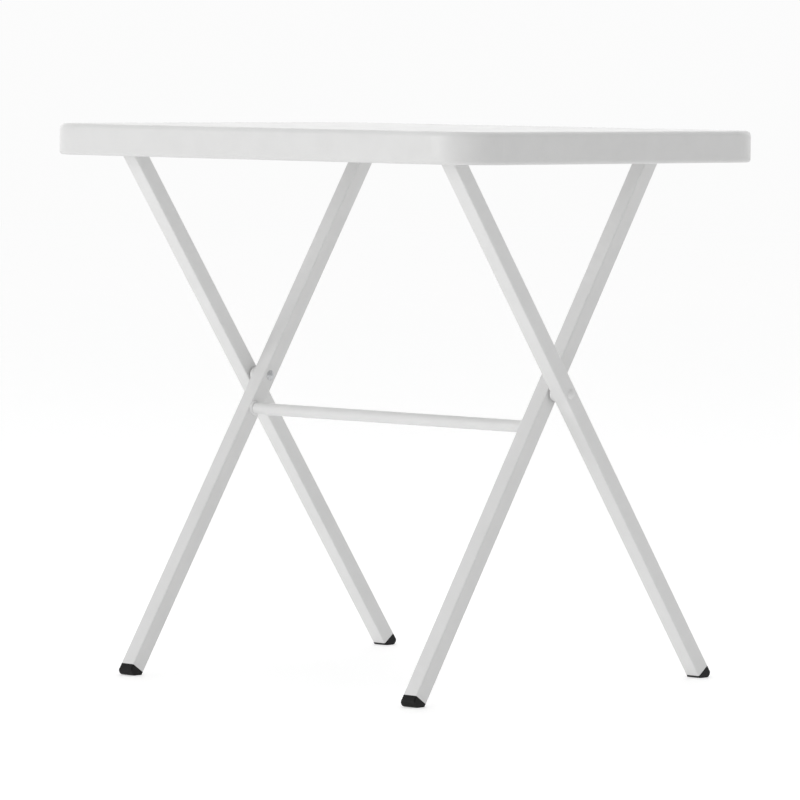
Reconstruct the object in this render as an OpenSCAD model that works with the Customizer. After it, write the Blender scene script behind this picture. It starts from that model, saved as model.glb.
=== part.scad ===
// Folding table: a hollow moulded top on two crossed pairs of square steel legs.
// X runs along the crossbar, Y lies in the plane of the crossed legs, and Z is up.
// The origin is on the floor, under the middle of the tabletop.

/* [Tabletop] */
// Length of the tabletop, along the crossbar
top_l = 768; // [640:1:925]
// Depth of the tabletop, in the plane of the crossed legs
top_w = 612; // [510:1:740]
// Height of the work surface above the floor
table_h = 740; // [616:1:890]
// Height of the rim round the tabletop
rim_h = 42; // [40:1:56]
// Thickness of the hollow panel inside the rim
panel_t = 20; // [16:1:21]
// Width of the skirt that hangs round the underside
skirt_w = 22; // [16:1:30]
// Radius of the tabletop's corners, seen from above
corner_r = 65; // [45:1:90]
// Radius of the rounded edge round the work surface
top_edge_r = 7; // [4:0.5:10]
// Radius of the rounded lower edge of the rim
low_edge_r = 4.5; // [1:0.5:6]
// Wall of the moulded shell
shell_t = 2.6; // [2:0.1:3.4]
// Distance between the dimples that tie the two walls together
dimple_pitch = 70; // [56:1:90]
// Radius of a dimple at its mouth
dimple_r = 11; // [8:0.5:14]

/* [Legs] */
// Width of the square leg tube
leg_w = 23; // [19.2:0.1:27.6]
// Wall of the leg tube
leg_wall = 1.2; // [1:0.1:2]
// Radius of the leg tube's outer corners
leg_corner_r = 2; // [1.3:0.1:3]
// Distance of the outer legs' hinge axis from the tabletop's near edge
hinge_inset = 78; // [70:1:94]
// Distance of the sliding top tube's axis from the tabletop's far edge
catch_inset = 101; // [84:1:122]
// Height of the pivot bolts above the floor
pivot_z = 395; // [329:1:474]
// Place of the pivot bolts across the depth, from the middle of the tabletop
pivot_y = 2; // [-10:1:12]
// Distance from the middle of the table to the middle of an inner leg
inner_x = 254.5; // [212:0.5:305.5]
// Gap between an inner leg and the outer leg beside it
leg_gap = 8; // [6.5:0.5:12]
// How far a leg tube runs past the axis of its top tube
leg_over = 7; // [6:0.5:8.5]

/* [Cross tubes] */
// Outer diameter of the three round cross tubes
bar_d = 16.5; // [13.7:0.1:19.8]
// Wall of the round tubes
bar_wall = 1.2; // [1:0.1:2]
// Gap between the panel and an outer leg's top end as it swings past
end_gap = 0.54; // [0.3:0.02:1.5]
// Depth of the sliding top tube's axis under the panel
catch_drop = 17; // [16:0.5:18]
// Distance of the crossbar below the pivot bolts, along the inner legs
crossbar_drop = 53; // [36:1:90]

/* [Pivots] */
// Diameter of the pivot bolt's shank
bolt_d = 8; // [6:0.5:9]
// Diameter of the bolt's and the nut's domed heads
bolt_head_d = 14; // [12:0.5:17]
// Height of the bolt's and the nut's domed heads
bolt_head_h = 3; // [2.5:0.5:5]
// Diameter of the loose spacer between the legs
spacer_d = 21; // [16:0.5:30]
// Length of the loose spacer between the legs
spacer_l = 5; // [3:0.1:6]

/* [Brackets] */
// Distance from the middle of the table to a hinge bracket
bracket_x = 205; // [160:1:215]
// Width of a hinge bracket along its tube
bracket_w = 32; // [24:1:36]
// Distance from the middle of the table to a catch clip
clip_x = 105; // [60:1:140]
// Width of a catch clip along its tube
clip_w = 30; // [22:1:40]
// Wall under the tube in a hinge bracket
strap_t = 1.6; // [1.2:0.1:1.8]
// Wall round the tube in a catch clip
clip_t = 3; // [2.4:0.1:3.4]
// Thickness of the screwed flanges
flange_t = 3; // [2:0.5:4]
// Diameter of the bracket screws
screw_d = 4; // [3.5:0.1:5]
// Length of a bracket screw under its head
screw_l = 15; // [12:0.5:16]

/* [Feet] */
// Height of a foot plug on its thin side
foot_thin = 3; // [2:0.5:5]
// Radius of a foot plug's toe on the floor
foot_r = 7; // [3:0.5:8]
// Length of the plugs inside the leg tubes
plug_l = 20; // [12:1:30]

/* [Hidden] */
$fn = 64;

run_clear = 0.05;      // radial clearance of a shaft that turns in its hole
play = 0.3;            // clearance between faces that slide past each other
clip_clear = 0.5;      // clearance of the sliding tube in a catch clip
plug_clear = 0.1;      // clearance round a plug inside its tube
plug_cap_t = 2;        // thickness of a leg plug's flush cap
heel_r = 1.8 * foot_thin;  // radius of a foot plug's heel on the floor
eps = 1;               // overshoot of a cut past the face it leaves

outer_x = inner_x + leg_w + leg_gap;
underside_z = table_h - panel_t;
rim_z = table_h - rim_h;
recess_h = rim_h - panel_t;
hinge_drop = norm([leg_over, leg_w / 2]) + end_gap;  // depth of the hinge axis under the panel
hinge_z = underside_z - hinge_drop;
catch_z = underside_z - catch_drop;
hinge_y = hinge_inset - top_w / 2;
catch_y = top_w / 2 - catch_inset;
outer_lean = atan((pivot_y - hinge_y) / (hinge_z - pivot_z));
inner_lean = atan((catch_y - pivot_y) / (catch_z - pivot_z));
outer_arm = (hinge_z - pivot_z) / cos(outer_lean);
inner_arm = (catch_z - pivot_z) / cos(inner_lean);
notch_clear = 8;       // clearance of the far skirt's cut-back beside the legs
notch_half = outer_x + leg_w / 2 + notch_clear;
bolt_hole_r = bolt_d / 2 + run_clear;
bar_hole_r = bar_d / 2 + run_clear;
clip_hole_r = bar_d / 2 + clip_clear;
flange_reach = 30;     // half length of a flange, from its tube's axis
screw_reach = 22;      // distance of a screw from its tube's axis
screw_head_d = 2 * screw_d;
screw_head_h = 2.4;
screw_head_taper = 1;  // how much smaller a screw head's face is than its rim, in radius
recess_w = 0.9;        // width of the slots of a screw's cross recess
recess_depth = 1.2;
pilot_clear = 0.05;
pilot_extra = 1;       // how far a screw's pilot hole runs past its tip
boss_r = 8;            // radius of the solid boss that a screw bites into
dimple_margin = 30;    // least distance of a dimple's middle from the skirt
pad_margin = 5;        // least distance of a dimple's rim from a screwed-on flange

plastic_white = [0.93, 0.93, 0.92];
coat_white = [0.88, 0.88, 0.87];
zinc = [0.72, 0.72, 0.72];
plastic_grey = [0.8, 0.8, 0.8];
plastic_black = [0.08, 0.08, 0.08];

// Height along a leg, from the pivot down to the square-cut end of its tube
function leg_below(lean) = (pivot_z - foot_thin - leg_w / 2 * sin(lean)) / cos(lean);

// A strip of half-width reach with its outer corners rounded, seen from the end
module edge_profile(reach, h, r_top, r_low) {
    difference() {
        square([reach, h]);
        if (r_top > 0) {
            translate([reach - r_top, h - r_top]) outer_corner(r_top);
        }
        if (r_low > 0) {
            translate([reach - r_low, r_low]) mirror([0, 1]) outer_corner(r_low);
        }
    }
}

// What a rounded corner leaves of a square corner
module outer_corner(r) {
    difference() {
        square(r + eps);
        circle(r);
    }
}

// A slab with round corners seen from above, and rounded upper and lower edges
module slab(l, w, h, r, r_top, r_low) {
    translate([-l / 2 + r, -w / 2 + r, 0]) cube([l - 2 * r, w - 2 * r, h]);
    for (turn = [0, 180]) rotate([0, 0, turn]) {
        translate([-l / 2 + r, w / 2 - r, 0]) rotate([90, 0, 90])
            linear_extrude(l - 2 * r) edge_profile(r, h, r_top, r_low);
        translate([l / 2 - r, w / 2 - r, 0]) rotate([90, 0, 0])
            linear_extrude(w - 2 * r) edge_profile(r, h, r_top, r_low);
        translate([l / 2 - r, w / 2 - r, 0])
            rotate_extrude(angle = 90) edge_profile(r, h, r_top, r_low);
        translate([-l / 2 + r, w / 2 - r, 0]) rotate([0, 0, 90])
            rotate_extrude(angle = 90) edge_profile(r, h, r_top, r_low);
    }
}

// A square section with round corners
module round_square(w, r) {
    square([w, w - 2 * r], center = true);
    square([w - 2 * r, w], center = true);
    for (sx = [-1, 1], sy = [-1, 1]) {
        translate([sx * (w / 2 - r), sy * (w / 2 - r)]) circle(r);
    }
}

// Places of the screws of the hinge brackets and of the catch clips
bracket_screws = [for (sx = [-1, 1], sy = [-1, 1]) [sx * bracket_x, hinge_y + sy * screw_reach]];
clip_screws = [for (sx = [-1, 1], dx = [-1, 1])
    [sx * clip_x + dx * clip_w / 4, catch_y - screw_reach]];

// Places of the dimples: an even grid, left out where a bracket or a clip is screwed on
columns = floor((top_l / 2 - skirt_w - dimple_margin) / dimple_pitch);
rows = floor((top_w / 2 - skirt_w - dimple_margin) / dimple_pitch);
pad_reach = dimple_r + pad_margin;
function off_bracket(x, y) =
    abs(abs(x) - bracket_x) > bracket_w / 2 + pad_reach || abs(y - hinge_y) > flange_reach + pad_reach;
function off_clip(x, y) =
    abs(abs(x) - clip_x) > clip_w / 2 + pad_reach || abs(y - catch_y) > flange_reach + pad_reach;
function off_pads(x, y) = off_bracket(x, y) && off_clip(x, y);
dimples = [for (i = [-columns:columns], j = [-rows:rows])
    if (off_pads(i * dimple_pitch, j * dimple_pitch)) [i * dimple_pitch, j * dimple_pitch]];

module dimple() {
    translate([0, 0, underside_z - eps])
        cylinder(h = panel_t - 2 * shell_t + eps, r1 = dimple_r, r2 = dimple_r / 2, $fn = 32);
}

// The hollow inside the moulded shell, stopped short at the bosses and dimples
module shell_hollow() {
    inset = 2 * shell_t;
    difference() {
        translate([0, 0, rim_z + shell_t]) slab(top_l - inset, top_w - inset, rim_h - inset,
            corner_r - shell_t, top_edge_r - shell_t, 0);
        translate([0, 0, rim_z - eps]) slab(top_l - 2 * skirt_w + inset, top_w - 2 * skirt_w + inset,
            recess_h + shell_t + eps, corner_r - skirt_w + shell_t, 0, 0);
        translate([-notch_half - shell_t, 0, rim_z - eps])
            cube([2 * (notch_half + shell_t), top_w, recess_h + shell_t + eps]);
        for (p = dimples) {
            translate([p.x, p.y, 0]) cylinder_boss(dimple_r + shell_t, dimple_r / 2 + shell_t);
        }
        for (p = concat(bracket_screws, clip_screws)) {
            translate([p.x, p.y, 0]) cylinder_boss(boss_r, boss_r);
        }
    }
}

module cylinder_boss(r_low, r_high) {
    translate([0, 0, underside_z]) cylinder(h = panel_t, r1 = r_low, r2 = r_high, $fn = 32);
}

module tabletop() {
    color(plastic_white) difference() {
        translate([0, 0, rim_z]) slab(top_l, top_w, rim_h, corner_r, top_edge_r, low_edge_r);
        translate([0, 0, rim_z - eps]) slab(top_l - 2 * skirt_w, top_w - 2 * skirt_w,
            recess_h + eps, corner_r - skirt_w, 0, 0);
        // the far skirt is cut back so that the sliding tube and the legs can pass
        translate([-notch_half, top_w / 2 - skirt_w - eps, rim_z - eps])
            cube([2 * notch_half, skirt_w + 2 * eps, recess_h + eps]);
        shell_hollow();
        for (p = dimples) {
            translate([p.x, p.y, 0]) dimple();
        }
        for (p = concat(bracket_screws, clip_screws)) {
            translate([p.x, p.y, underside_z - eps])
                cylinder(h = screw_l - flange_t + pilot_extra + eps, r = screw_d / 2 + pilot_clear);
        }
    }
}

// A bearing block under the panel, with the tube's axis at drop below it
module block(drop, w, wall, hole_r) {
    outer_r = hole_r + wall;
    rotate([90, 0, 90]) linear_extrude(w, center = true) {
        circle(outer_r);
        translate([-outer_r, 0]) square([2 * outer_r, drop]);
    }
}

module hinge_bracket(side) {
    color(zinc) translate([side * bracket_x, hinge_y, hinge_z]) difference() {
        union() {
            block(hinge_drop, bracket_w, strap_t, bar_hole_r);
            translate([-bracket_w / 2, -flange_reach, hinge_drop - flange_t])
                cube([bracket_w, 2 * flange_reach, flange_t]);
        }
        rotate([0, 90, 0]) cylinder(h = bracket_w + 2 * eps, r = bar_hole_r, center = true);
        for (sy = [-1, 1]) {
            translate([0, sy * screw_reach, 0]) cylinder(h = hinge_drop + eps, r = screw_d / 2 + pilot_clear);
        }
    }
}

module catch_clip(side) {
    color(plastic_grey) translate([side * clip_x, catch_y, catch_z]) difference() {
        union() {
            block(catch_drop, clip_w, clip_t, clip_hole_r);
            translate([-clip_w / 2, -flange_reach, catch_drop - flange_t])
                cube([clip_w, flange_reach, flange_t]);
        }
        rotate([0, 90, 0]) cylinder(h = clip_w + 2 * eps, r = clip_hole_r, center = true);
        // the mouth, on the side that the tube leaves by
        translate([-clip_w / 2 - eps, 0, -clip_hole_r])
            cube([clip_w + 2 * eps, clip_hole_r + clip_t + eps, 2 * clip_hole_r]);
        for (dx = [-1, 1]) {
            translate([dx * clip_w / 4, -screw_reach, 0])
                cylinder(h = catch_drop + eps, r = screw_d / 2 + pilot_clear);
        }
    }
}

// A pan-headed screw, driven upwards through a flange
module screw() {
    translate([0, 0, underside_z - flange_t]) {
        cylinder(h = screw_l, r = screw_d / 2);
        difference() {
            translate([0, 0, -screw_head_h])
                cylinder(h = screw_head_h, r1 = screw_head_d / 2 - screw_head_taper, r2 = screw_head_d / 2);
            for (turn = [0, 90]) rotate([0, 0, turn]) {
                translate([-screw_d / 2, -recess_w / 2, -screw_head_h - eps])
                    cube([screw_d, recess_w, eps + recess_depth]);
            }
        }
    }
}

module screws(places) {
    color(zinc) for (p = places) {
        translate([p.x, p.y, 0]) screw();
    }
}

// Moves a child from the pivot's own frame to a leg's place; side is -1 or 1
module at_outer_leg(side) {
    translate([side * outer_x, pivot_y, pivot_z]) rotate([outer_lean, 0, 0]) children();
}

module at_inner_leg(side) {
    translate([side * inner_x, pivot_y, pivot_z]) rotate([-inner_lean, 0, 0]) children();
}

// A leg tube along Z, with its pivot hole at the origin
module leg_tube(below, above) {
    difference() {
        translate([0, 0, -below]) linear_extrude(below + above) difference() {
            round_square(leg_w, leg_corner_r);
            square(leg_w - 2 * leg_wall, center = true);
        }
        rotate([0, 90, 0]) cylinder(h = leg_w + 2 * eps, r = bolt_hole_r, center = true);
    }
}

module outer_leg(side) {
    color(coat_white) at_outer_leg(side)
        leg_tube(leg_below(outer_lean), outer_arm + leg_over - plug_cap_t);
}

module inner_leg(side) {
    color(coat_white) at_inner_leg(side)
        leg_tube(leg_below(inner_lean), inner_arm + leg_over - plug_cap_t);
}

// A plug in the top end of a leg tube, with a flush cap
module leg_plug(arm) {
    translate([0, 0, arm + leg_over - plug_cap_t]) {
        linear_extrude(plug_cap_t) round_square(leg_w, leg_corner_r);
        translate([0, 0, -plug_l]) linear_extrude(plug_l)
            square(leg_w - 2 * leg_wall - 2 * plug_clear, center = true);
    }
}

// A round tube between two faces, along X
module cross_tube(half_l) {
    rotate([0, 90, 0]) linear_extrude(2 * half_l, center = true) difference() {
        circle(bar_d / 2);
        circle(bar_d / 2 - bar_wall);
    }
}

module outer_top_tube() {
    color(coat_white) translate([0, hinge_y, hinge_z]) cross_tube(outer_x - leg_w / 2);
}

module inner_top_tube() {
    color(coat_white) translate([0, catch_y, catch_z]) cross_tube(inner_x - leg_w / 2);
}

module inner_crossbar() {
    color(coat_white) translate([0, pivot_y, pivot_z]) rotate([-inner_lean, 0, 0])
        translate([0, 0, -crossbar_drop]) cross_tube(inner_x - leg_w / 2);
}

// A low dome on a face, rising along Z
module dome(d, h) {
    ball_r = (d * d / 4 + h * h) / (2 * h);
    intersection() {
        translate([0, 0, h - ball_r]) sphere(ball_r, $fn = 64);
        cylinder(h = h, r = d / 2);
    }
}

// Domed bolt from outside, through both legs
module pivot_bolt(side) {
    shank_l = 2 * leg_w + leg_gap + play;
    color(coat_white) translate([side * (outer_x + leg_w / 2), pivot_y, pivot_z])
        rotate([0, side * 90, 0]) {
        dome(bolt_head_d, bolt_head_h);
        translate([0, 0, -shank_l - bolt_head_h / 2])
            cylinder(h = shank_l + bolt_head_h / 2, r = bolt_d / 2);
    }
}

// Domed nut on the inner leg's inner face, on the bolt's end
module pivot_nut(side) {
    color(zinc) translate([side * (inner_x - leg_w / 2 - play), pivot_y, pivot_z]) rotate([0, -side * 90, 0])
        difference() {
            dome(bolt_head_d, bolt_head_h);
            translate([0, 0, -eps]) cylinder(h = bolt_head_h / 2 + eps, r = bolt_d / 2);
        }
}

// Round spacer, loose on the bolt between the two legs: on both sides of the table
// it lies against the leg on its +X side
module pivot_spacer(side) {
    start_x = side > 0 ? outer_x - leg_w / 2 : -inner_x - leg_w / 2 - play;
    color(coat_white) translate([start_x, pivot_y, pivot_z]) rotate([0, -90, 0]) difference() {
        cylinder(h = spacer_l, r = spacer_d / 2);
        translate([0, 0, -eps]) cylinder(h = spacer_l + 2 * eps, r = bolt_hole_r);
    }
}

// What is cut away, across the leg, to round an outline's corner between two directions
module corner_cut(corner, angle_a, angle_b, r) {
    half = (angle_b - angle_a) / 2;
    middle = [cos(angle_a + half), sin(angle_a + half)];
    centre = corner + r / sin(half) * middle;
    out_a = [sin(angle_a), -cos(angle_a)];
    out_b = [-sin(angle_b), cos(angle_b)];
    rotate([90, 0, 90]) difference() {
        linear_extrude(leg_w + 2 * eps, center = true) polygon([
            corner - eps / sin(half) * middle, centre + (r + eps) * out_a,
            centre, centre + (r + eps) * out_b]);
        translate([centre.x, centre.y, 0]) cylinder(h = leg_w + 4 * eps, r = r, center = true);
    }
}

// A foot plug, for a leg that comes down towards -Y: the wedge under the tube's end,
// cut flat at the floor, and its tongue inside the tube
module foot(lean) {
    end = leg_below(lean);
    sunk = foot_thin / 2;
    toe = [-pivot_z * tan(lean) - leg_w / 2 / cos(lean), -pivot_z];
    heel = toe + [leg_w / cos(lean), 0];
    difference() {
        rotate([-lean, 0, 0]) {
            translate([0, 0, -end - 2 * leg_w]) linear_extrude(2 * leg_w) round_square(leg_w, leg_corner_r);
            translate([0, 0, -end - sunk]) linear_extrude(plug_l + sunk)
                square(leg_w - 2 * leg_wall - 2 * plug_clear, center = true);
        }
        translate([-leg_w, toe.x - 2 * leg_w, -pivot_z - 2 * leg_w]) cube([2 * leg_w, 6 * leg_w, 2 * leg_w]);
        corner_cut(toe, 0, 90 - lean, foot_r);
        corner_cut(heel, 90 - lean, 180, heel_r);
    }
}

module outer_foot(side) {
    color(plastic_black) translate([side * outer_x, pivot_y, pivot_z]) rotate([0, 0, 180]) foot(outer_lean);
}

module inner_foot(side) {
    color(plastic_black) translate([side * inner_x, pivot_y, pivot_z]) foot(inner_lean);
}

module outer_leg_plug(side) {
    color(plastic_black) at_outer_leg(side) leg_plug(outer_arm);
}

module inner_leg_plug(side) {
    color(plastic_black) at_inner_leg(side) leg_plug(inner_arm);
}

tabletop();
hinge_bracket(-1);  // hinge_bracket_left
hinge_bracket(1);  // hinge_bracket_right
screws(bracket_screws);  // hinge_bracket_screws
catch_clip(-1);  // catch_clip_left
catch_clip(1);  // catch_clip_right
screws(clip_screws);  // catch_clip_screws
outer_leg(-1);  // outer_leg_left
outer_leg(1);  // outer_leg_right
outer_top_tube();
inner_leg(-1);  // inner_leg_left
inner_leg(1);  // inner_leg_right
inner_top_tube();
inner_crossbar();
pivot_bolt(-1);  // pivot_bolt_left
pivot_bolt(1);  // pivot_bolt_right
pivot_nut(-1);  // pivot_nut_left
pivot_nut(1);  // pivot_nut_right
pivot_spacer(-1);  // pivot_spacer_left
pivot_spacer(1);  // pivot_spacer_right
outer_foot(-1);  // outer_foot_left
outer_foot(1);  // outer_foot_right
inner_foot(-1);  // inner_foot_left
inner_foot(1);  // inner_foot_right
outer_leg_plug(-1);  // outer_leg_plug_left
outer_leg_plug(1);  // outer_leg_plug_right
inner_leg_plug(-1);  // inner_leg_plug_left
inner_leg_plug(1);  // inner_leg_plug_right
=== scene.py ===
import math
import bpy
import numpy as np
from mathutils import Matrix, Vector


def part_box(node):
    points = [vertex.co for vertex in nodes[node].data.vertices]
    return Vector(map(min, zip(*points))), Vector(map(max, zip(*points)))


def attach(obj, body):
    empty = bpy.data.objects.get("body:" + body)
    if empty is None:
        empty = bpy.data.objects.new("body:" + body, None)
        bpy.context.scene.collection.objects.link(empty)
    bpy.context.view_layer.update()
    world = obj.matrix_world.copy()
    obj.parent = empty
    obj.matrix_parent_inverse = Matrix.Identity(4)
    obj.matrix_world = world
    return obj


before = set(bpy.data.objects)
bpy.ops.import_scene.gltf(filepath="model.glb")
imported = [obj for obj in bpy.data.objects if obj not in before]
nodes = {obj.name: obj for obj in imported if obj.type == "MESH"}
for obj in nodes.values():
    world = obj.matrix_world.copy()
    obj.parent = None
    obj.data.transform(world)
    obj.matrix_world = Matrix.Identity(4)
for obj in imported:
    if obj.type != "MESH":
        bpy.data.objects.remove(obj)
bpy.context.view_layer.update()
scene = bpy.context.scene
print("folding table: frame loaded,", len(nodes), "pieces")


def inputSocket(group, name, kind, value):
    socket = group.interface.new_socket(name=name, in_out="INPUT", socket_type=kind)
    if value is not None:
        socket.default_value = value


def outputSocket(group, name, kind):
    group.interface.new_socket(name=name, in_out="OUTPUT", socket_type=kind)


def newGroup(name, inputs, outputs):
    group = bpy.data.node_groups.new(name, "ShaderNodeTree")
    for label, kind, value in inputs:
        inputSocket(group, label, kind, value)
    for label, kind in outputs:
        outputSocket(group, label, kind)
    start = group.nodes.new("NodeGroupInput")
    end = group.nodes.new("NodeGroupOutput")
    return group, start, end


def place(tree, kind, settings=None, **sockets):
    # adds one node; a socket given another node's output is linked, a number is set
    node = tree.nodes.new(kind)
    for key, value in (settings or {}).items():
        setattr(node, key, value)
    for key, value in sockets.items():
        fill(tree, node, key, value)
    return node


def fill(tree, node, key, value):
    socket = node.inputs[int(key[1:])] if key[0] == "i" and key[1:].isdigit() else node.inputs[key]
    if isinstance(value, bpy.types.NodeSocket):
        tree.links.new(value, socket)
    else:
        socket.default_value = value


def maths(tree, operation, a, b=0.0, clamp=False):
    settings = {"operation": operation, "use_clamp": clamp}
    return place(tree, "ShaderNodeMath", settings, i0=a, i1=b).outputs[0]


def remap(tree, value, low, high, toLow, toHigh):
    node = place(tree, "ShaderNodeMapRange", {"clamp": True}, Value=value)
    for key, number in (("From Min", low), ("From Max", high), ("To Min", toLow), ("To Max", toHigh)):
        fill(tree, node, key, number)
    return node.outputs["Result"]


def noise(tree, vector, scale, detail=3.0, roughness=0.5):
    return place(tree, "ShaderNodeTexNoise", None, Vector=vector, Scale=scale,
                 Detail=detail, Roughness=roughness).outputs["Fac"]


def mixColour(tree, factor, a, b):
    settings = {"data_type": "RGBA", "blend_type": "MIX"}
    node = place(tree, "ShaderNodeMix", settings, i0=factor, i6=a, i7=b)
    return node.outputs[2]


# Pebble height: rounded cells of the given size, softened by a finer noise
pebble, start, end = newGroup(
    "pebbleGrain",
    [("Vector", "NodeSocketVector", None), ("Size", "NodeSocketFloat", 0.0015),
     ("Fine Share", "NodeSocketFloat", 0.35)],
    [("Height", "NodeSocketFloat")])
cellScale = maths(pebble, "DIVIDE", 1.0, start.outputs["Size"])
cells = place(pebble, "ShaderNodeTexVoronoi", {"feature": "SMOOTH_F1"},
              Vector=start.outputs["Vector"], Scale=cellScale, Smoothness=0.7)
fine = noise(pebble, start.outputs["Vector"], maths(pebble, "MULTIPLY", cellScale, 2.3), 3.0, 0.6)
finePart = maths(pebble, "MULTIPLY", fine, start.outputs["Fine Share"])
pebble.links.new(maths(pebble, "ADD", cells.outputs["Distance"], finePart), end.inputs["Height"])

# Orange peel height: two soft noises, the second three times finer
peel, start, end = newGroup(
    "orangePeel",
    [("Vector", "NodeSocketVector", None), ("Size", "NodeSocketFloat", 0.002)],
    [("Height", "NodeSocketFloat")])
peelScale = maths(peel, "DIVIDE", 1.0, start.outputs["Size"])
wide = noise(peel, start.outputs["Vector"], peelScale, 1.0, 0.4)
narrow = noise(peel, start.outputs["Vector"], maths(peel, "MULTIPLY", peelScale, 3.1), 2.0, 0.5)
peel.links.new(maths(peel, "ADD", wide, maths(peel, "MULTIPLY", narrow, 0.3)), end.inputs["Height"])

# Cloudy colour: a base colour that drifts a little towards a second one, in patches
cloud, start, end = newGroup(
    "cloudyColour",
    [("Vector", "NodeSocketVector", None), ("Patch Size", "NodeSocketFloat", 0.05),
     ("Amount", "NodeSocketFloat", 0.3), ("Base", "NodeSocketColor", (0.8, 0.8, 0.8, 1)),
     ("Drift", "NodeSocketColor", (0.7, 0.7, 0.7, 1))],
    [("Color", "NodeSocketColor"), ("Mask", "NodeSocketFloat")])
patchScale = maths(cloud, "DIVIDE", 1.0, start.outputs["Patch Size"])
patches = noise(cloud, start.outputs["Vector"], patchScale, 4.0, 0.55)
patchMask = remap(cloud, patches, 0.35, 0.7, 0.0, 1.0)
drift = maths(cloud, "MULTIPLY", patchMask, start.outputs["Amount"])
cloud.links.new(mixColour(cloud, drift, start.outputs["Base"], start.outputs["Drift"]), end.inputs["Color"])
cloud.links.new(patchMask, end.inputs["Mask"])

# Edge wear: how far the rounded-over normal turns from the true one, broken up by noise
wear, start, end = newGroup(
    "edgeWear",
    [("Vector", "NodeSocketVector", None), ("Width", "NodeSocketFloat", 0.001),
     ("Breakup", "NodeSocketFloat", 0.006), ("Amount", "NodeSocketFloat", 0.5)],
    [("Mask", "NodeSocketFloat")])
rounded = place(wear, "ShaderNodeBevel", {"samples": 6}, Radius=start.outputs["Width"])
facing = place(wear, "ShaderNodeNewGeometry")
alike = place(wear, "ShaderNodeVectorMath", {"operation": "DOT_PRODUCT"},
              i0=rounded.outputs["Normal"], i1=facing.outputs["Normal"])
turned = maths(wear, "SUBTRACT", 1.0, alike.outputs["Value"], True)
edge = remap(wear, turned, 0.02, 0.22, 0.0, 1.0)
broken = noise(wear, start.outputs["Vector"], maths(wear, "DIVIDE", 1.0, start.outputs["Breakup"]), 4.0, 0.6)
patchy = remap(wear, broken, 0.38, 0.62, 0.15, 1.0)
worn = maths(wear, "MULTIPLY", maths(wear, "MULTIPLY", edge, patchy), start.outputs["Amount"], True)
wear.links.new(worn, end.inputs["Mask"])

# Fine scuffs: thin streaks from a noise that is drawn out along one direction
scuff, start, end = newGroup(
    "fineScuffs",
    [("Vector", "NodeSocketVector", None), ("Stretch", "NodeSocketVector", (40, 900, 400)),
     ("Amount", "NodeSocketFloat", 0.4)],
    [("Mask", "NodeSocketFloat")])
drawn = place(scuff, "ShaderNodeVectorMath", {"operation": "MULTIPLY"},
              i0=start.outputs["Vector"], i1=start.outputs["Stretch"])
streaks = noise(scuff, drawn.outputs["Vector"], 1.0, 3.0, 0.55)
where = noise(scuff, start.outputs["Vector"], 14.0, 2.0, 0.5)
thin = remap(scuff, streaks, 0.66, 0.78, 0.0, 1.0)
some = remap(scuff, where, 0.45, 0.65, 0.0, 1.0)
marks = maths(scuff, "MULTIPLY", maths(scuff, "MULTIPLY", thin, some), start.outputs["Amount"], True)
scuff.links.new(marks, end.inputs["Mask"])

# Settled dust: upward-facing parts only, thinned out by a cloudy noise
dust, start, end = newGroup(
    "settledDust",
    [("Vector", "NodeSocketVector", None), ("Amount", "NodeSocketFloat", 0.2)],
    [("Mask", "NodeSocketFloat")])
facing = place(dust, "ShaderNodeNewGeometry")
upward = place(dust, "ShaderNodeSeparateXYZ", None, Vector=facing.outputs["Normal"])
level = remap(dust, upward.outputs["Z"], 0.55, 0.98, 0.0, 1.0)
thick = remap(dust, noise(dust, start.outputs["Vector"], 60.0, 6.0, 0.65), 0.4, 0.7, 0.2, 1.0)
lying = maths(dust, "MULTIPLY", maths(dust, "MULTIPLY", level, thick), start.outputs["Amount"], True)
dust.links.new(lying, end.inputs["Mask"])
print("folding table: shader groups made")


def newMaterial(name):
    material = bpy.data.materials.new(name)
    material.use_nodes = True
    tree = material.node_tree
    shader = tree.nodes["Principled BSDF"]
    where = place(tree, "ShaderNodeTexCoord").outputs["Object"]
    return material, tree, shader, where


def useGroup(tree, group, **sockets):
    node = place(tree, "ShaderNodeGroup", {"node_tree": group})
    for key, value in sockets.items():
        fill(tree, node, key.replace("_", " "), value)
    return node


def bump(tree, height, distance, strength=1.0, normal=None):
    node = place(tree, "ShaderNodeBump", None, Height=height, Distance=distance, Strength=strength)
    if normal is not None:
        fill(tree, node, "Normal", normal)
    return node.outputs["Normal"]


def driftingColour(tree, where, look):
    return useGroup(tree, cloud, Vector=where, Patch_Size=look["patchSize"], Amount=look["driftAmount"],
                    Base=look["base"], Drift=look["drift"])


def wornMask(tree, where, look):
    worn = useGroup(tree, wear, Vector=where, Width=look["wornWidth"], Breakup=look["wornBreakup"],
                    Amount=look["wornAmount"])
    return worn.outputs["Mask"]


def scuffMask(tree, where, look):
    scuffs = useGroup(tree, scuff, Vector=where, Stretch=look["scuffStretch"], Amount=look["scuffAmount"])
    return scuffs.outputs["Mask"]


def patchyRoughness(tree, colour, look):
    return remap(tree, colour.outputs["Mask"], 0.0, 1.0, look["roughLow"], look["roughHigh"])


def scuffedRoughness(tree, colour, scuffs, look):
    rough = patchyRoughness(tree, colour, look)
    return maths(tree, "ADD", rough, maths(tree, "MULTIPLY", scuffs, look["scuffRough"]))


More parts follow.
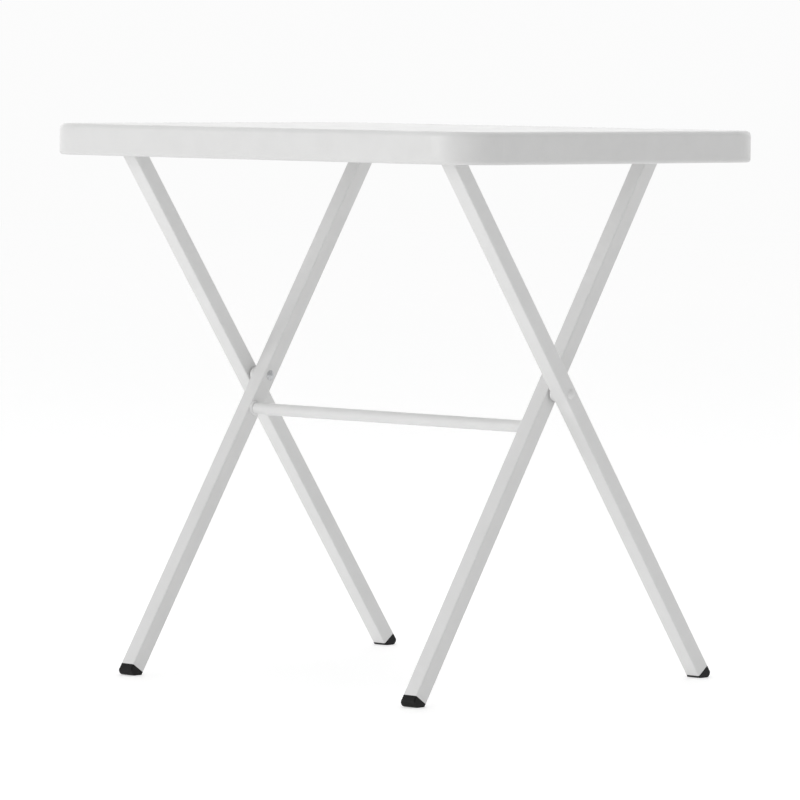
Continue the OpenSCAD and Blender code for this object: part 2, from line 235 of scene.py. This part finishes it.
mouldedTopLook = {
    "base": (0.72, 0.72, 0.716, 1), "drift": (0.68, 0.68, 0.676, 1), "patchSize": 0.035,
    "pebbleSize": 0.0016, "pebbleDepth": 0.00007, "waveSize": 0.055, "waveDepth": 0.00035,
    "roughLow": 0.33, "roughHigh": 0.45, "specular": 0.5, "driftAmount": 0.55,
    "dustTint": (0.66, 0.65, 0.63, 1), "dustAmount": 0.10,
    "scuffTint": (0.62, 0.62, 0.61, 1), "scuffStretch": (60, 700, 500), "scuffAmount": 0.22, "scuffRough": 0.4,
    "wornTint": (0.86, 0.86, 0.855, 1), "wornWidth": 0.0012, "wornBreakup": 0.008, "wornAmount": 0.35}


def makeMouldedTop(look):
    material, tree, shader, where = newMaterial("mouldedTop")
    colour = driftingColour(tree, where, look)
    scuffs = scuffMask(tree, where, look)
    dusty = useGroup(tree, dust, Vector=where, Amount=look["dustAmount"]).outputs["Mask"]
    scuffed = mixColour(tree, scuffs, colour.outputs["Color"], look["scuffTint"])
    rubbed = mixColour(tree, wornMask(tree, where, look), scuffed, look["wornTint"])
    fill(tree, shader, "Base Color", mixColour(tree, dusty, rubbed, look["dustTint"]))
    fill(tree, shader, "Roughness", scuffedRoughness(tree, colour, scuffs, look))
    grain = useGroup(tree, pebble, Vector=where, Size=look["pebbleSize"])
    wave = noise(tree, where, 1.0 / look["waveSize"], 2.0, 0.45)
    slow = bump(tree, wave, look["waveDepth"])
    fill(tree, shader, "Normal", bump(tree, grain.outputs["Height"], look["pebbleDepth"], 1.0, slow))
    shader.inputs["Specular IOR Level"].default_value = look["specular"]
    return material


coatedSteelLook = {
    "base": (0.76, 0.76, 0.757, 1), "drift": (0.72, 0.72, 0.716, 1), "patchSize": 0.05,
    "peelSize": 0.0019, "peelDepth": 0.00005, "waveScale": 30.0, "waveDepth": 0.00012,
    "roughLow": 0.30, "roughHigh": 0.40, "driftAmount": 0.5, "coat": 0.15, "coatRough": 0.25,
    "dustTint": (0.62, 0.61, 0.59, 1), "dustAmount": 0.12,
    "scuffTint": (0.60, 0.60, 0.59, 1), "scuffStretch": (700, 500, 45), "scuffAmount": 0.2, "scuffRough": 0.3,
    "wornTint": (0.84, 0.84, 0.835, 1), "wornWidth": 0.0011, "wornBreakup": 0.009, "wornAmount": 0.30}


def makeCoatedSteel(look):
    material, tree, shader, where = newMaterial("coatedSteel")
    colour = driftingColour(tree, where, look)
    scuffs = scuffMask(tree, where, look)
    dusty = useGroup(tree, dust, Vector=where, Amount=look["dustAmount"]).outputs["Mask"]
    rubbed = mixColour(tree, wornMask(tree, where, look), colour.outputs["Color"], look["wornTint"])
    scuffed = mixColour(tree, scuffs, rubbed, look["scuffTint"])
    fill(tree, shader, "Base Color", mixColour(tree, dusty, scuffed, look["dustTint"]))
    fill(tree, shader, "Roughness", scuffedRoughness(tree, colour, scuffs, look))
    skin = useGroup(tree, peel, Vector=where, Size=look["peelSize"])
    slow = bump(tree, noise(tree, where, look["waveScale"], 2.0, 0.5), look["waveDepth"])
    fill(tree, shader, "Normal", bump(tree, skin.outputs["Height"], look["peelDepth"], 1.0, slow))
    shader.inputs["Coat Weight"].default_value = look["coat"]
    shader.inputs["Coat Roughness"].default_value = look["coatRough"]
    return material


footPlasticLook = {
    "base": (0.0035, 0.0035, 0.0038, 1), "drift": (0.008, 0.008, 0.0085, 1), "patchSize": 0.008,
    "driftAmount": 0.8, "roughLow": 0.38, "roughHigh": 0.55, "specular": 0.22,
    "scuffTint": (0.045, 0.045, 0.045, 1), "scuffStretch": (220, 260, 1400), "scuffAmount": 0.5,
    "wornWidth": 0.0009, "wornBreakup": 0.003, "wornAmount": 0.6,
    "floorTint": (0.016, 0.015, 0.014, 1), "floorReach": 0.008, "floorAmount": 0.35,
    "grainSize": 0.0009, "grainDepth": 0.00008}


def makeFootPlastic(look):
    material, tree, shader, where = newMaterial("footPlastic")
    colour = driftingColour(tree, where, look)
    marked = maths(tree, "MAXIMUM", wornMask(tree, where, look), scuffMask(tree, where, look))
    height = place(tree, "ShaderNodeSeparateXYZ", None, Vector=where).outputs["Z"]
    nearFloor = remap(tree, height, 0.0, look["floorReach"], look["floorAmount"], 0.0)
    rubbed = mixColour(tree, marked, colour.outputs["Color"], look["scuffTint"])
    fill(tree, shader, "Base Color", mixColour(tree, nearFloor, rubbed, look["floorTint"]))
    fill(tree, shader, "Roughness", patchyRoughness(tree, colour, look))
    grain = useGroup(tree, pebble, Vector=where, Size=look["grainSize"])
    fill(tree, shader, "Normal", bump(tree, grain.outputs["Height"], look["grainDepth"]))
    shader.inputs["Specular IOR Level"].default_value = look["specular"]
    return material


zincSteelLook = {
    "base": (0.62, 0.63, 0.64, 1), "drift": (0.50, 0.51, 0.53, 1), "patchSize": 0.004,
    "driftAmount": 0.9, "roughLow": 0.24, "roughHigh": 0.42,
    "scuffStretch": (1500, 160, 160), "scuffAmount": 0.6, "scuffRough": 0.25,
    "wornTint": (0.80, 0.80, 0.80, 1), "wornWidth": 0.0006, "wornBreakup": 0.002, "wornAmount": 0.7,
    "lineStretch": (2600, 300, 300), "lineDepth": 0.00002}


def makeZincSteel(look):
    material, tree, shader, where = newMaterial("zincSteel")
    colour = driftingColour(tree, where, look)
    rubbed = mixColour(tree, wornMask(tree, where, look), colour.outputs["Color"], look["wornTint"])
    fill(tree, shader, "Base Color", rubbed)
    fill(tree, shader, "Roughness", scuffedRoughness(tree, colour, scuffMask(tree, where, look), look))
    drawn = place(tree, "ShaderNodeVectorMath", {"operation": "MULTIPLY"}, i0=where, i1=look["lineStretch"])
    lines = noise(tree, drawn.outputs["Vector"], 1.0, 3.0, 0.6)
    fill(tree, shader, "Normal", bump(tree, lines, look["lineDepth"]))
    shader.inputs["Metallic"].default_value = 1.0
    return material


greyPlasticLook = {
    "base": (0.66, 0.66, 0.655, 1), "drift": (0.58, 0.58, 0.575, 1), "patchSize": 0.012,
    "driftAmount": 0.6, "roughLow": 0.36, "roughHigh": 0.50,
    "wornTint": (0.76, 0.76, 0.755, 1), "wornWidth": 0.0008, "wornBreakup": 0.004, "wornAmount": 0.5,
    "grainSize": 0.0011, "grainDepth": 0.00005}


def makeGreyPlastic(look):
    material, tree, shader, where = newMaterial("greyPlastic")
    colour = driftingColour(tree, where, look)
    rubbed = mixColour(tree, wornMask(tree, where, look), colour.outputs["Color"], look["wornTint"])
    fill(tree, shader, "Base Color", rubbed)
    fill(tree, shader, "Roughness", patchyRoughness(tree, colour, look))
    grain = useGroup(tree, pebble, Vector=where, Size=look["grainSize"])
    fill(tree, shader, "Normal", bump(tree, grain.outputs["Height"], look["grainDepth"]))
    return material


materials = {
    "moulded_top": makeMouldedTop(mouldedTopLook),
    "coated_steel": makeCoatedSteel(coatedSteelLook),
    "foot_plastic": makeFootPlastic(footPlasticLook),
    "zinc_steel": makeZincSteel(zincSteelLook),
    "grey_plastic": makeGreyPlastic(greyPlasticLook)}

for piece in nodes.values():
    for i, old in enumerate(piece.data.materials):
        piece.data.materials[i] = materials[old.name.split(".")[0]]
print("folding table: finishes put on the frame")


def gridMesh(name, points, closedU, closedV):
    # points is a (rows, columns, 3) grid; the faces join each cell's four corners
    rows, columns = points.shape[:2]
    rowList = np.arange(rows if closedU else rows - 1)
    columnList = np.arange(columns if closedV else columns - 1)
    r, c = np.meshgrid(rowList, columnList, indexing="ij")
    rNext, cNext = (r + 1) % rows, (c + 1) % columns
    ring = [r * columns + c, rNext * columns + c, rNext * columns + cNext, r * columns + cNext]
    faces = np.stack(ring, -1).reshape(-1, 4)
    mesh = bpy.data.meshes.new(name)
    mesh.vertices.add(rows * columns)
    mesh.vertices.foreach_set("co", points.reshape(-1).astype(np.float32))
    mesh.loops.add(faces.size)
    mesh.loops.foreach_set("vertex_index", faces.reshape(-1))
    mesh.polygons.add(len(faces))
    mesh.polygons.foreach_set("loop_start", np.arange(0, faces.size, 4))
    mesh.update(calc_edges=True)
    mesh.polygons.foreach_set("use_smooth", np.ones(len(faces), bool))
    mesh.validate()
    return mesh


def addPiece(name, mesh, body, material):
    piece = bpy.data.objects.new(name, mesh)
    scene.collection.objects.link(piece)
    mesh.materials.append(material)
    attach(piece, body)
    return piece


weldBead = {"radius": 0.0024, "ripples": 22, "rippleDepth": 0.10, "unevenness": 0.12,
            "around": 264, "across": 20}


def beadPoints(centre, tubeRadius, faceX, side, look, seed):
    # A ring round the tube where it meets the leg's face. At angle u round the tube and v
    # round the bead's section, the point is (faceX - side * r cos v, (tubeRadius + r sin v)
    # turned by u), and r is the bead's radius with a sawtooth ripple and a slow swell on it.
    u = np.linspace(0, 2 * math.pi, look["around"], endpoint=False)[:, None]
    v = np.linspace(0, 2 * math.pi, look["across"], endpoint=False)[None, :]
    phase = (u * look["ripples"] / (2 * math.pi) + 0.12 * np.sin(v)) % 1.0
    ripple = np.sin(math.pi * phase) ** 0.6 - 0.6
    swell = np.sin(2 * u + seed) * 0.6 + np.sin(5 * u + 2.1 * seed) * 0.4
    r = look["radius"] * (1 + look["rippleDepth"] * ripple + look["unevenness"] * swell)
    reach = tubeRadius + r * np.sin(v)
    x = faceX - side * r * np.cos(v) + 0 * u
    y = centre[0] + reach * np.cos(u)
    z = centre[1] + reach * np.sin(u)
    return np.stack([x, y, z], -1)


weldedTubes = [("outer_top_tube", "outer_frame"), ("inner_top_tube", "inner_frame"),
               ("inner_crossbar", "inner_frame")]
seed, seedStep = 0.0, 1.7
for tubeName, body in weldedTubes:
    low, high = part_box(tubeName)
    centre = ((low.y + high.y) / 2, (low.z + high.z) / 2)
    tubeRadius = (high.z - low.z) / 2
    for side, faceX, label in ((-1, low.x, "left"), (1, high.x, "right")):
        seed += seedStep
        points = beadPoints(centre, tubeRadius, faceX, side, weldBead, seed)
        if side < 0:
            points = points[:, ::-1]
        mesh = gridMesh(f"weld_{tubeName}_{label}", points, True, True)
        addPiece(f"weld_{tubeName}_{label}", mesh, body, materials["coated_steel"])
print("folding table: weld beads made")


# the sky is brightest at the backdrop and dimmest at the zenith and at the flagged +X side;
# the camera itself sees it evenly pale
skyLook = {"horizon": 0.78, "zenith": 0.60, "backdrop": 0.75, "flag": 0.22, "seen": 0.97,
           "backdropWay": (-0.667, 0.745, 0.0), "backdropEdge": (0.45, 0.95), "flagEdge": (0.1, 0.9)}
floorLook = {"half": 60.0, "base": (0.88, 0.88, 0.88, 1), "drift": (0.86, 0.86, 0.86, 1),
             "patchSize": 0.4, "driftAmount": 0.3, "roughness": 0.7, "specular": 0.2,
             "glow": 0.20, "seenGlow": 0.33, "fadeFrom": 3.0, "fadeTo": 20.0}
floorMesh = bpy.data.meshes.new("floor")
reach = floorLook["half"]
corners = [(-reach, -reach, 0), (reach, -reach, 0), (reach, reach, 0), (-reach, reach, 0)]
floorMesh.from_pydata(corners, [], [(0, 1, 2, 3)])
floor = bpy.data.objects.new("floor", floorMesh)
scene.collection.objects.link(floor)
floorMaterial, tree, shader, where = newMaterial("paleFloor")
fill(tree, shader, "Base Color", driftingColour(tree, where, floorLook).outputs["Color"])
shader.inputs["Roughness"].default_value = floorLook["roughness"]
shader.inputs["Specular IOR Level"].default_value = floorLook["specular"]
shader.inputs["Emission Color"].default_value = (1, 1, 1, 1)
cameraRay = place(tree, "ShaderNodeLightPath").outputs["Is Camera Ray"]
glow = remap(tree, cameraRay, 0.0, 1.0, floorLook["glow"], floorLook["seenGlow"])
fill(tree, shader, "Emission Strength", glow)
# far away the floor runs over into the pale sky, as a studio sweep does
distance = place(tree, "ShaderNodeVectorMath", {"operation": "LENGTH"}, i0=where).outputs["Value"]
sweep = place(tree, "ShaderNodeEmission", None, Strength=skyLook["seen"])
faraway = remap(tree, distance, floorLook["fadeFrom"], floorLook["fadeTo"], 0.0, 1.0)
blended = place(tree, "ShaderNodeMixShader", None, i0=faraway)
tree.links.new(shader.outputs["BSDF"], blended.inputs[1])
tree.links.new(sweep.outputs["Emission"], blended.inputs[2])
# from below the floor is clear, so that the underside of the table can be looked at
below = place(tree, "ShaderNodeNewGeometry").outputs["Backfacing"]
oneSided = place(tree, "ShaderNodeMixShader", None, i0=below)
tree.links.new(blended.outputs["Shader"], oneSided.inputs[1])
tree.links.new(place(tree, "ShaderNodeBsdfTransparent").outputs["BSDF"], oneSided.inputs[2])
tree.links.new(oneSided.outputs["Shader"], tree.nodes["Material Output"].inputs["Surface"])
floorMesh.materials.append(floorMaterial)

world = bpy.data.worlds.new("studio")
world.use_nodes = True
tree = world.node_tree
way = place(tree, "ShaderNodeTexCoord").outputs["Generated"]
direction = place(tree, "ShaderNodeSeparateXYZ", None, Vector=way)
light = remap(tree, direction.outputs["Z"], 0.0, 0.9, skyLook["horizon"], skyLook["zenith"])
toBackdrop = place(tree, "ShaderNodeVectorMath", {"operation": "DOT_PRODUCT"},
                   i0=way, i1=skyLook["backdropWay"])
backdrop = remap(tree, toBackdrop.outputs["Value"], *skyLook["backdropEdge"], 0.0, skyLook["backdrop"])
flag = remap(tree, direction.outputs["X"], *skyLook["flagEdge"], 0.0, skyLook["flag"])
light = maths(tree, "SUBTRACT", maths(tree, "ADD", light, backdrop), flag)
cameraRay = place(tree, "ShaderNodeLightPath").outputs["Is Camera Ray"]
seen = place(tree, "ShaderNodeMix", None, i0=cameraRay, i2=light, i3=skyLook["seen"])
fill(tree, tree.nodes["Background"], "Color", (1, 1, 1, 1))
fill(tree, tree.nodes["Background"], "Strength", seen.outputs[0])
scene.world = world

# name: place, aimed-at point, width, height, watts
studioLamps = {
    "keyLamp": ((-1.6, -5.2, 1.1), (0, 0, 0.45), 3.2, 2.0, 62),
    "topLamp": ((0.3, 0.2, 4.2), (0, 0, 0.6), 3.5, 3.5, 30)}


def standAt(spot, right, up, back):
    turned = Matrix((right, up, back)).transposed().to_4x4()
    turned.translation = spot
    return turned


def aimAt(spot, target):
    back = np.array(spot, float) - np.array(target, float)
    back /= np.linalg.norm(back)
    right = np.cross((0, 0, 1), back)
    right /= np.linalg.norm(right)
    return standAt(spot, right, np.cross(back, right), back)


for name, (spot, target, width, height, watts) in studioLamps.items():
    lamp = bpy.data.lights.new(name, "AREA")
    lamp.shape = "RECTANGLE"
    lamp.size, lamp.size_y, lamp.energy = width, height, watts
    lampObject = bpy.data.objects.new(name, lamp)
    scene.collection.objects.link(lampObject)
    lampObject.matrix_world = aimAt(spot, target)
    lampObject.visible_camera = False

cameraLook = {"place": (4.9922, -5.5839, 0.8301), "azimuth": 41.808, "elevation": 3.493, "roll": 0.610,
              "lens": 251.04, "sensor": 36, "sees": 200}
azimuth, elevation, roll = (math.radians(cameraLook[k]) for k in ("azimuth", "elevation", "roll"))
level = math.cos(elevation)
back = np.array([math.sin(azimuth) * level, -math.cos(azimuth) * level, math.sin(elevation)])
right = np.array([math.cos(azimuth), math.sin(azimuth), 0])
up = np.cross(back, right)
rolledRight = math.cos(roll) * right + math.sin(roll) * up
rolledUp = -math.sin(roll) * right + math.cos(roll) * up
cameraData = bpy.data.cameras.new("camera")
cameraData.lens, cameraData.sensor_width = cameraLook["lens"], cameraLook["sensor"]
cameraData.clip_end = cameraLook["sees"]
camera = bpy.data.objects.new("camera", cameraData)
scene.collection.objects.link(camera)
camera.matrix_world = standAt(cameraLook["place"], rolledRight, rolledUp, back)
scene.camera = camera
scene.view_settings.view_transform = "Standard"
scene.view_settings.look = "None"
print("folding table: floor, lamps and camera placed")
